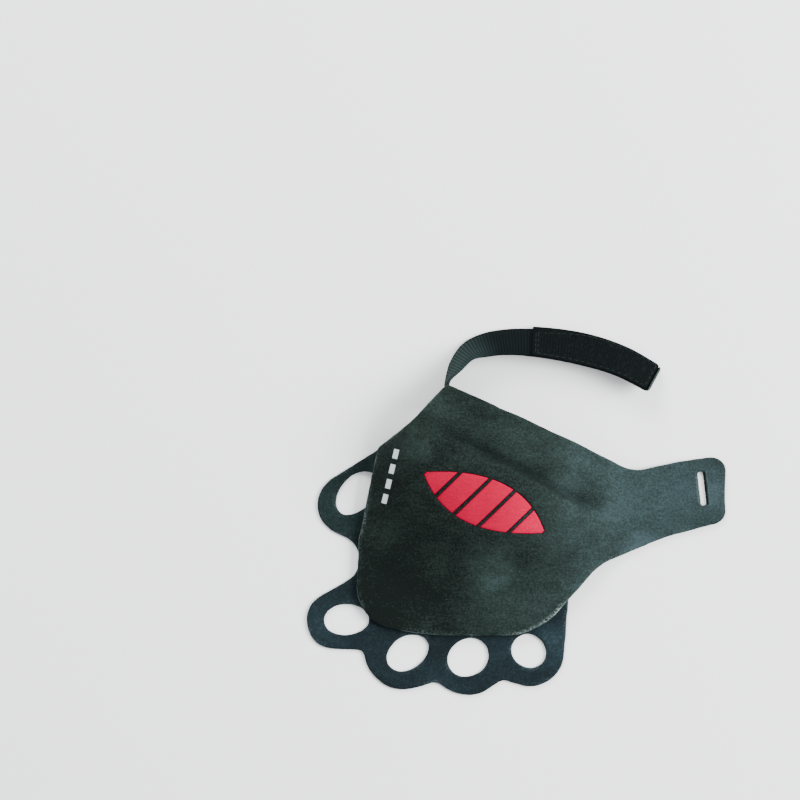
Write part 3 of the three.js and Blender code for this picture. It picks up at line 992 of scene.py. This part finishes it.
def strap_profile(run):
    """The webbing's section: a ribbed middle, a dip, and a rounded selvedge at each edge. Its
    sealed end is folded up against the patch."""
    half = tip_width(STRAP["width"], STRAP_LENGTH - run)
    thick = STRAP["thickness"] / 2
    fold = TIP["rise"] * smooth(TIP["fold"] - STRAP_LENGTH + run, 0, TIP["bend"])
    rib = RIB_HEIGHT * abs(math.sin(math.pi * run / RIB_PITCH)) ** RIB_FLATNESS
    body = thick - RIB_HEIGHT + rib
    stitch = SELVEDGE["knit"] * abs(math.sin(2 * math.pi * run / RIB_PITCH))
    knit = thick - SELVEDGE["low"] - stitch
    near_side = [(-half + inset, knit * share) for inset, share in SELVEDGE_SHAPE]
    near_side += [
        (-half + SELVEDGE["width"], thick - RIB_HEIGHT - SELVEDGE["dip"]),
        (-half + SELVEDGE["width"] + SELVEDGE["bank"], body),
        (-half * 0.5, body),
        (0, body),
    ]
    woven = near_side + [(-side, out) for side, out in reversed(near_side[:-1])]
    over = [(side, out + (fold if out else 0)) for side, out in reversed(woven)]
    return over + [(side, -out) for side, out in woven[1:-1]]


def webbing():
    material, start = new_material("webbing")
    yarn, dust = (mottle(start, **kind) for kind in WEB_NOISES)
    # The painted highlight on the strap's turn
    rubbed = toned(start, place(start), WEB_LIT_SPOTS, (dust - 0.5) * WEB_WARP)
    along = start.node("Attribute", dict(attribute_name="along"), output=2)
    wave = start.maths("SINE", along * (math.pi / RIB_PITCH))
    ribs = start.maths("ABSOLUTE", wave).between(0.10, 0.75)
    # The rib crests are painted lighter than the grooves between them: painted shade in the
    # grooves
    tone = (ribs * 0.6 + yarn.between(0.4, 0.75) * 0.4 + dust * 0.2 - 0.15).clamped()
    body = tone.mixed(WEB_COLOUR, WEB_NAP)
    sealed = along.between(*(STRAP_LENGTH - left for left in WEB_SEAL))
    sealed = sealed * (0.4 + 0.6 * yarn.between(0.4, 0.6))
    # Painted highlight on the strap's turn, strongest on the rib crests
    body = (rubbed * (ribs * 0.8 + 0.2)).clamped().mixed(body, WEB_PAINTED_HIGHLIGHT)
    body = sealed.mixed(body, WEB_SEALED)
    finish_material(start, {
        "Base Color": body,
        "Roughness": 0.55 + 0.3 * yarn,
        "Normal": relief(start, yarn, strength=0.5, depth=0.12),
        "Specular IOR Level": 0.03,
    })
    return material


strap_runs = np.linspace(0, STRAP_LENGTH, round(STRAP_LENGTH / RIB_PITCH * RIB_STEPS) + 1)
wrist_strap = band("wrist_strap_webbing", strap_runs, strap_profile, webbing())
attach(wrist_strap, "root")
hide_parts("wrist_strap")


# Grip patch
# Hook-and-loop tape sewn round its rim on the outer half of the strap. Its face is a field of
# short stiff pile, and its woven rim lies flat under the stitches.

PATCH = dict(width=15.4, thickness=1.5, start=0.494, end=0.988, gap=0.02, sunk=0.1)
PATCH_STEP = 0.26
PATCH_COLUMNS = 41
PATCH_BLUNT = 0.45
RIM_BANK = (1.2, 1.8)
RIM_ROUND = (-0.15, 0.3)
RIM_WALL = 0.35
PILE = dict(depth=0.35, tuft=0.25, fineness=1.9, seed=7)
ROW_PITCH = 1.3
ROW_HEIGHT = 0.12
GRIP_NOISES = (dict(size=0.4, detail=4, roughness=0.8), dict(size=1.6))
GRIP_COLOUR = (0.0020, 0.0030, 0.0031)
GRIP_NAP = (0.0085, 0.0115, 0.0120)


def patch_profile(run):
    """The tape's section: pile inside its rim, which is rounded off at the sides and ends."""
    low = STRAP["thickness"] / 2 + PATCH["gap"]
    top = low + PATCH["thickness"] - PATCH["sunk"]
    half = tip_width(PATCH["width"], PATCH["end"] * STRAP_LENGTH - run + PATCH_BLUNT)
    row = ROW_HEIGHT * abs(math.sin(math.pi * run / ROW_PITCH))
    end_rim = min(run - PATCH["start"] * STRAP_LENGTH, PATCH["end"] * STRAP_LENGTH - run)
    over = []
    for side in np.linspace(-half, half, PATCH_COLUMNS):
        side_rim = half - abs(side)
        pile = smooth(end_rim, *RIM_BANK) * smooth(side_rim, *RIM_BANK)
        fall = smooth(side_rim, *RIM_ROUND) * smooth(end_rim, *RIM_ROUND)
        spot = Vector((run * PILE["fineness"], side * PILE["fineness"], PILE["seed"]))
        tuft = PILE["tuft"] * (0.5 + 0.5 * noise.noise(spot))
        out = top - PILE["depth"] * (1 - pile) - pile * (tuft + row)
        over.append((side, low + RIM_WALL + (out - low - RIM_WALL) * fall))
    return [(side, out) for side, out in reversed(over)] + [(-half, low), (half, low)]


def grip_tape():
    material, start = new_material("grip tape")
    pile, lint = (mottle(start, **kind) for kind in GRIP_NOISES)
    along = start.node("Attribute", dict(attribute_name="along"), output=2)
    row = start.maths("ABSOLUTE", start.maths("SINE", along * (math.pi / ROW_PITCH)))
    tone = pile.between(0.4, 0.72) * 0.6 + lint.between(0.5, 0.75) * 0.35 + (1 - row) * 0.2 - 0.1
    finish_material(start, {
        "Base Color": tone.clamped().mixed(GRIP_COLOUR, GRIP_NAP),
        "Roughness": 0.95,
        "Normal": relief(start, pile, strength=0.8, depth=0.25),
        "Specular IOR Level": 0.02,
    })
    return material


patch_runs = np.arange(PATCH["start"] * STRAP_LENGTH, PATCH["end"] * STRAP_LENGTH, PATCH_STEP)
grip_patch = band("grip_patch_tape", patch_runs, patch_profile, grip_tape())
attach(grip_patch, "root")
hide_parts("grip_patch")


# Stitching
# Black thread. One line round the patch's rim, and a second across it where it starts, sew the
# patch to the webbing. A row of overcast stitches sews the strap up under the wrist corner.

STITCH = dict(length=1.9, gap=0.7, width=0.42, height=0.26)
STITCH_INSET = 1.35
SEAM_PAIR = 1.0
SEAM_DRIFT = dict(depth=2.2, reach=24)
SEAM_POINTS = dict(lengthwise=60, crosswise=20)
CORNER_SEAM = dict(start=0.8, end=5.6, stitches=6, depth=1.7, spread=1.5)
THREAD_COLOUR = (0.0095, 0.0150, 0.0160)
THREAD_TWIST = dict(size=0.3, detail=2)
THREAD_MESH = dict(rings=7, sides=8, taper=0.08)


def stitch_line(points, normals):
    """Stitches of thread laid end to end along a line of points."""
    run = np.concatenate(((0,), np.cumsum(np.linalg.norm(np.diff(points, axis=0), axis=1))))
    pitch = STITCH["length"] + STITCH["gap"]
    count = max(1, int(run[-1] / pitch))
    for k in range(count):
        middle = (k + 0.5) * run[-1] / count
        half = STITCH["length"] / 2
        start, end = (
            np.array([np.interp(at, run, row) for row in points.T])
            for at in (middle - half, middle + half)
        )
        out = np.array([np.interp(middle, run, row) for row in normals.T])
        yield start, end, out / np.linalg.norm(out)


def thread_mesh(name, stitches, material):
    """A tapered length of thread for each stitch."""
    rings, sides, taper = THREAD_MESH["rings"], THREAD_MESH["sides"], THREAD_MESH["taper"]
    points, faces = [], []
    for start, end, out in stitches:
        along = end - start
        aside = np.cross(out, along / np.linalg.norm(along))
        first = len(points)
        for ring in range(rings):
            share = ring / (rings - 1)
            girth = math.sin(math.pi * (taper + (1 - 2 * taper) * share)) ** 0.5
            middle = start + along * share
            for side in range(sides):
                turn = 2 * math.pi * side / sides
                points.append(tuple(
                    middle
                    + aside * math.cos(turn) * STITCH["width"] / 2 * girth
                    + out * math.sin(turn) * STITCH["height"] * girth
                ))
        faces += tube(rings, sides, first)
    return new_piece(name, points, faces, material)


def rim_line(runs, sides):
    """Points on the patch's rim, and the ways they face."""
    out = STRAP["thickness"] / 2 + PATCH["thickness"] - PATCH["sunk"] - PILE["depth"]
    frames = [strap_frame(run) for run in runs]
    points = [f[0] + f[2] * side + f[3] * out for f, side in zip(frames, sides)]
    return np.array(points), np.array([f[3] for f in frames])


def thread():
    material, start = new_material("thread")
    twist = mottle(start, **THREAD_TWIST)
    finish_material(start, {
        "Base Color": twist.mixed(WEB_COLOUR, THREAD_COLOUR),
        "Roughness": 0.7,
        "Normal": relief(start, twist, strength=0.6, depth=0.1),
        "Specular IOR Level": 0.15,
    })
    return material


seam_start = PATCH["start"] * STRAP_LENGTH + STITCH_INSET
seam_end = PATCH["end"] * STRAP_LENGTH - STITCH_INSET
seam_side = PATCH["width"] / 2 - STITCH_INSET
lengthwise = np.linspace(seam_start, seam_end, SEAM_POINTS["lengthwise"])
drift = SEAM_DRIFT["depth"] * (1 - smooth(lengthwise - seam_start, 0, SEAM_DRIFT["reach"]))
seams = [(lengthwise, np.full_like(lengthwise, -seam_side)), (lengthwise, seam_side - drift)]
for run, shorter in (
    (seam_start, SEAM_DRIFT["depth"]),
    (seam_start + SEAM_PAIR, SEAM_DRIFT["depth"]),
    (seam_end, 0),
):
    crosswise = np.linspace(-seam_side, seam_side - shorter, SEAM_POINTS["crosswise"])
    seams.append((np.full_like(crosswise, run), crosswise))
stitches = [s for runs, sides in seams for s in stitch_line(*rim_line(runs, sides))]
sewing_thread = thread()
patch_stitching = thread_mesh("patch_stitching", stitches, sewing_thread)


def corner_stitch(run, way):
    """One overcast stitch from the strap's face up to the layer over it, on one side."""
    centre, _, across, face = strap_frame(run)
    side = way * face
    foot = STRAP["width"] / 2 - CORNER_SEAM["depth"]
    low = centre - across * foot + side * STRAP["thickness"] / 2
    x, y = (centre + side * CORNER_SEAM["spread"])[:2]
    high = np.array((x, y, arch_height(np.array([x]), np.array([y]))[0]))
    return low, high, side


corner_runs = np.linspace(CORNER_SEAM["start"], CORNER_SEAM["end"], CORNER_SEAM["stitches"])
corner_stitches = [corner_stitch(run, way) for run in corner_runs for way in (-1, 1)]
corner_stitching = thread_mesh("corner_stitching", corner_stitches, sewing_thread)
for sewn, slot in ((patch_stitching, "grip"), (corner_stitching, "webbing")):
    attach(sewn, "root")


# Floor, light and camera
# A pale table under soft light from both sides, seen from straight above as in the photo.

PHOTO_SCALE = 0.43
PHOTO_ZERO = (515, 510)
PHOTO_MIDDLE = (400, 400)
PHOTO_SIZE = 800
FLOOR_REACH = 4.0
FLOOR_COLOUR = (0.93, 0.935, 0.93)
FLOOR_SHADE = (0.92, 0.925, 0.92)
FLOOR_PATCHES = 60
SKY = dict(colour=(0.95, 0.97, 1.0, 1), strength=1.1)
CAMERA_HEIGHT = 2.5
CAMERA_REACH = 20
SENSOR = 36.0


def table_top():
    material, start = new_material("pale table")
    patches = mottle(start, FLOOR_PATCHES)
    finish_material(start, {
        "Base Color": patches.mixed(FLOOR_COLOUR, FLOOR_SHADE),
        "Roughness": 0.85,
    })
    return material


floor_mesh = bpy.data.meshes.new("floor")
corners = ((-1, -1), (1, -1), (1, 1), (-1, 1))
floor_corners = [(x * FLOOR_REACH, y * FLOOR_REACH, 0) for x, y in corners]
floor_mesh.from_pydata(floor_corners, [], [(0, 1, 2, 3)])
floor_mesh.materials.append(table_top())
floor = new_object("floor", floor_mesh)

LIGHTS = table(
    "name at size power",
    ("right light", (1.35, 0.15, 0.95), 0.9, 75),
    ("wrist light", (-0.45, 1.35, 0.85), 0.9, 34),
)
for light in LIGHTS:
    lamp = bpy.data.lights.new(light["name"], "AREA")
    lamp.size = light["size"]
    lamp.energy = light["power"]
    holder = new_object(light["name"], lamp)
    holder.location = light["at"]
    holder.rotation_euler = (-Vector(light["at"])).to_track_quat("-Z", "Y").to_euler()

world = bpy.data.worlds.new("studio")
world.use_nodes = True
sky = world.node_tree.nodes["Background"].inputs
sky["Color"].default_value = SKY["colour"]
sky["Strength"].default_value = SKY["strength"]
bpy.context.scene.world = world

camera_data = bpy.data.cameras.new("camera")
camera_data.sensor_width = SENSOR
camera_data.lens = SENSOR * CAMERA_HEIGHT / (PHOTO_SIZE * PHOTO_SCALE * MM)
camera_data.clip_end = CAMERA_REACH
camera = new_object("camera", camera_data)
camera.location = ORIGIN + Vector((
    (PHOTO_MIDDLE[0] - PHOTO_ZERO[0]) * PHOTO_SCALE * MM,
    (PHOTO_ZERO[1] - PHOTO_MIDDLE[1]) * PHOTO_SCALE * MM,
    CAMERA_HEIGHT,
))
bpy.context.scene.camera = camera
